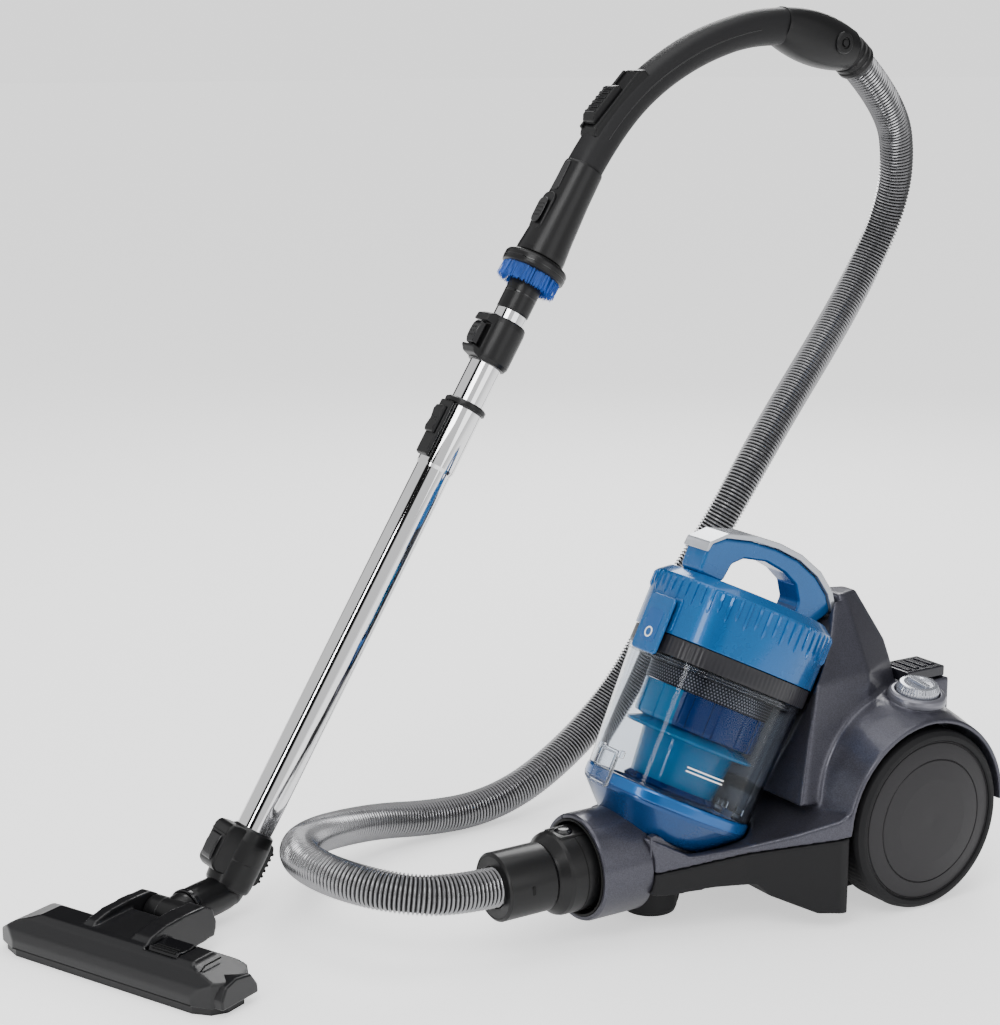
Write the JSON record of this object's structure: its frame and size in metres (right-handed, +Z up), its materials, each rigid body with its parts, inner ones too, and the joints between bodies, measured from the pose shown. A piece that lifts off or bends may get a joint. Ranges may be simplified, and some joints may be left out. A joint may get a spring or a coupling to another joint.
{
  "type": "canister vacuum cleaner",
  "caption": "Bagless canister vacuum cleaner with a clear dust cup, big side wheels, ribbed hose, telescopic chrome wand with dusting brush, and a flat floor head.",
  "frame": {"origin": "on the floor, at the centre of the box that holds the canister and the wand without the hose", "axes": "+Z up, -Y the way the canister and the floor head face, +X the canister's left"},
  "size_m": [0.4393, 1.0609, 0.8236],
  "materials": {
    "housing": "metallic gunmetal lacquer, satin gloss",
    "chassis": "black, fine grain",
    "collar": "black, smooth",
    "motor_steel": "bare",
    "motor_plastic": "moulded",
    "filter": "foam and fleece",
    "soft_rubber": "matt",
    "steel": "bare",
    "wheel_plastic": "dark grey satin",
    "tyre": "matt black",
    "knob_silver": "silver and clear",
    "pedal_dark": "dark faceted",
    "clear_bin": "transparent, faint smoke tint",
    "blue_base": "metallic blue",
    "blue_clear": "translucent blue",
    "mesh_dark": "dark perforated",
    "blue_lid": "metallic blue",
    "trim_silver": "silver, glossy",
    "black_satin": "black satin",
    "hose_grey": "ribbed flexible plastic, glossy grey",
    "bristle_blue": "bristles",
    "chrome_tube": "polished",
    "head_black": "black satin",
    "bristle_dark": "bristles"
  },
  "bodies": {
    "canister": {"lower_chassis": "chassis", "upper_housing": "housing", "inlet_collar": "collar", "motor": "motor_steel", "exhaust_filter": "filter", "exhaust_grille": "chassis", "cord_outlet": "soft_rubber", "wheel_axles": "steel", "chassis_screws": "steel", "cuff_connector": "black_satin", "hose_tube": "hose_grey", "grip_shell": "black_satin", "swivel_housing": "black_satin", "handle_sleeve": "black_satin", "wand_spigot": "black_satin", "inner_tube": "chrome_tube", "tube_latch": "black_satin"},
    "wheel_left": {"wheel_disc_left": "wheel_plastic", "wheel_tyre_left": "tyre"},
    "wheel_right": {"wheel_disc_right": "wheel_plastic", "wheel_tyre_right": "tyre"},
    "caster": {"caster_fork": "chassis"},
    "caster_roll": {"caster_wheel": "wheel_plastic"},
    "knob": {"power_knob": "knob_silver"},
    "pedal": {"rewind_pedal": "pedal_dark"},
    "fan": {"impeller": "motor_plastic"},
    "reel": {"cord_reel": "motor_plastic"},
    "dust_cup": {"dust_bin": "clear_bin", "cyclone_tube": "blue_clear", "shroud_skirt": "blue_clear", "mesh_shroud": "mesh_dark", "separator_plate": "blue_clear", "bin_gasket": "soft_rubber", "pre_motor_filter": "filter", "lid_shell": "blue_lid", "carry_handle": "blue_lid", "handle_trim": "trim_silver", "flap_hinge_pin": "steel"},
    "cup_button": {"lid_button": "blue_lid"},
    "cup_flap": {"bottom_flap": "blue_base"},
    "cup_latch": {"flap_latch": "clear_bin"},
    "cuff": {"hose_cuff": "black_satin"},
    "cuff_lock": {"cuff_button": "black_satin"},
    "hose_end": {"hose_collar": "black_satin"},
    "air_slider": {"suction_slider": "black_satin"},
    "dusting_brush": {"brush_ring": "black_satin", "brush_bristles": "bristle_blue"},
    "brush_release": {"brush_button": "black_satin"},
    "tube_release": {"tube_button": "black_satin"},
    "wand": {"outer_tube": "chrome_tube", "tube_ring": "black_satin", "lower_cuff": "black_satin", "neck_tube": "black_satin"},
    "wand_lock": {"lock_slider": "black_satin"},
    "wand_release": {"cuff_latch": "black_satin"},
    "neck": {"neck_barrel": "black_satin"},
    "head": {"head_shell": "head_black", "sole_plate": "head_black"},
    "rocker": {"rocker_pedal": "black_satin"},
    "strip": {"brush_strip": "bristle_dark"}
  },
  "joints": [
    {"name": "wheel_left_spin", "type": "hinge", "parent": "canister", "child": "wheel_left", "pos_m": [0.1754, 0.27568, 0.086], "axis": [1, 0, 0], "continuous": true},
    {"name": "wheel_right_spin", "type": "hinge", "parent": "canister", "child": "wheel_right", "pos_m": [-0.0386, 0.27568, 0.086], "axis": [1, 0, 0], "continuous": true},
    {"name": "caster_swivel", "type": "hinge", "parent": "canister", "child": "caster", "pos_m": [0.0684, 0.04768, 0.044], "axis": [0, 0, 1], "continuous": true},
    {"name": "caster_spin", "type": "hinge", "parent": "caster", "child": "caster_roll", "pos_m": [0.0684, 0.05768, 0.019], "axis": [1, 0, 0], "continuous": true},
    {"name": "power_knob_turn", "type": "hinge", "parent": "canister", "child": "knob", "pos_m": [0.15312, 0.29168, 0.1915], "axis": [0.1495, 0, 0.9888], "range_deg": [0, 270]},
    {"name": "rewind_press", "type": "slide", "parent": "canister", "child": "pedal", "axis": [0, 0, -1], "range_m": [0, 0.003], "stiffness_N_per_m": 600, "springref_m": -0.001},
    {"name": "fan_spin", "type": "hinge", "parent": "canister", "child": "fan", "pos_m": [0.0884, 0.27568, 0.098], "axis": [0, 1, 0], "continuous": true},
    {"name": "reel_spin", "type": "hinge", "parent": "canister", "child": "reel", "pos_m": [0.0184, 0.28968, 0.084], "axis": [1, 0, 0], "continuous": true},
    {"name": "cup_lift", "type": "slide", "parent": "canister", "child": "dust_cup", "axis": [0, 0, 1], "range_m": [0, 0.3]},
    {"name": "cup_button_press", "type": "slide", "parent": "dust_cup", "child": "cup_button", "axis": [0, 0.8949, -0.4462], "range_m": [0, 0.002], "stiffness_N_per_m": 600, "springref_m": -0.001},
    {"name": "flap_open", "type": "hinge", "parent": "dust_cup", "child": "cup_flap", "pos_m": [0.0684, 0.1423, 0.08249], "axis": [1, 0, 0], "range_deg": [0, 60.2]},
    {"name": "flap_latch_open", "type": "hinge", "parent": "dust_cup", "child": "cup_latch", "pos_m": [0.0684, 0.00258, 0.16891], "axis": [-1, 0, 0], "range_deg": [0, 12]},
    {"name": "cuff_swivel", "type": "hinge", "parent": "canister", "child": "cuff", "pos_m": [0.0684, -0.09432, 0.0645], "axis": [0, 1, 0], "continuous": true},
    {"name": "cuff_button_press", "type": "slide", "parent": "canister", "child": "cuff_lock", "axis": [0, 0, -1], "range_m": [0, 0.002], "stiffness_N_per_m": 500, "springref_m": -0.001},
    {"name": "hose_end_swivel", "type": "hinge", "parent": "canister", "child": "hose_end", "pos_m": [-0.1639, 0.47288, 0.7672], "axis": [-0.0828, 0.7862, -0.6124], "continuous": true},
    {"name": "air_slider_move", "type": "slide", "parent": "canister", "child": "air_slider", "axis": [-0.0248, 0.7067, 0.7071], "range_m": [0, 0.02]},
    {"name": "dusting_brush_slide", "type": "slide", "parent": "canister", "child": "dusting_brush", "axis": [0.0187, -0.5325, -0.8462], "range_m": [0, 0.028]},
    {"name": "brush_button_press", "type": "slide", "parent": "canister", "child": "brush_release", "axis": [-0.0296, 0.8457, -0.5329], "range_m": [0, 0.0015], "stiffness_N_per_m": 500, "springref_m": -0.001},
    {"name": "tube_button_press", "type": "slide", "parent": "canister", "child": "tube_release", "axis": [-0.0296, 0.8457, -0.5329], "range_m": [0, 0.002], "stiffness_N_per_m": 500, "springref_m": -0.001},
    {"name": "wand_telescope", "type": "slide", "parent": "canister", "child": "wand", "axis": [0.0187, -0.5325, -0.8462], "range_m": [-0.035, 0.3]},
    {"name": "wand_lock_slide", "type": "slide", "parent": "wand", "child": "wand_lock", "axis": [0.0187, -0.5325, -0.8462], "range_m": [0, 0.008], "stiffness_N_per_m": 400, "springref_m": -0.001},
    {"name": "wand_release_press", "type": "slide", "parent": "wand", "child": "wand_release", "axis": [-0.0296, 0.8457, -0.5329], "range_m": [0, 0.002], "stiffness_N_per_m": 500, "springref_m": -0.001},
    {"name": "neck_swivel", "type": "hinge", "parent": "wand", "child": "neck", "pos_m": [-0.11554, -0.33557, 0.026], "axis": [-0.41, 0.9121, 0], "range_deg": [-80, 80]},
    {"name": "head_pitch", "type": "hinge", "parent": "neck", "child": "head", "pos_m": [-0.10816, -0.35198, 0.026], "axis": [0.9121, 0.41, 0], "range_deg": [-50, 10]},
    {"name": "rocker_tilt", "type": "hinge", "parent": "head", "child": "rocker", "pos_m": [-0.02435, -0.38721, 0.0314], "axis": [0.9121, 0.41, 0], "range_deg": [0, 10]},
    {"name": "brush_strip_drop", "type": "slide", "parent": "head", "child": "strip", "axis": [0, 0, -1], "range_m": [0, 0.00505]}
  ],
  "couplings": [
    {"joint": "flap_open", "follows": "cup_lift", "rad_per_m": 3.49},
    {"joint": "brush_strip_drop", "follows": "rocker_tilt", "m_per_rad": 0.02865}
  ]
}
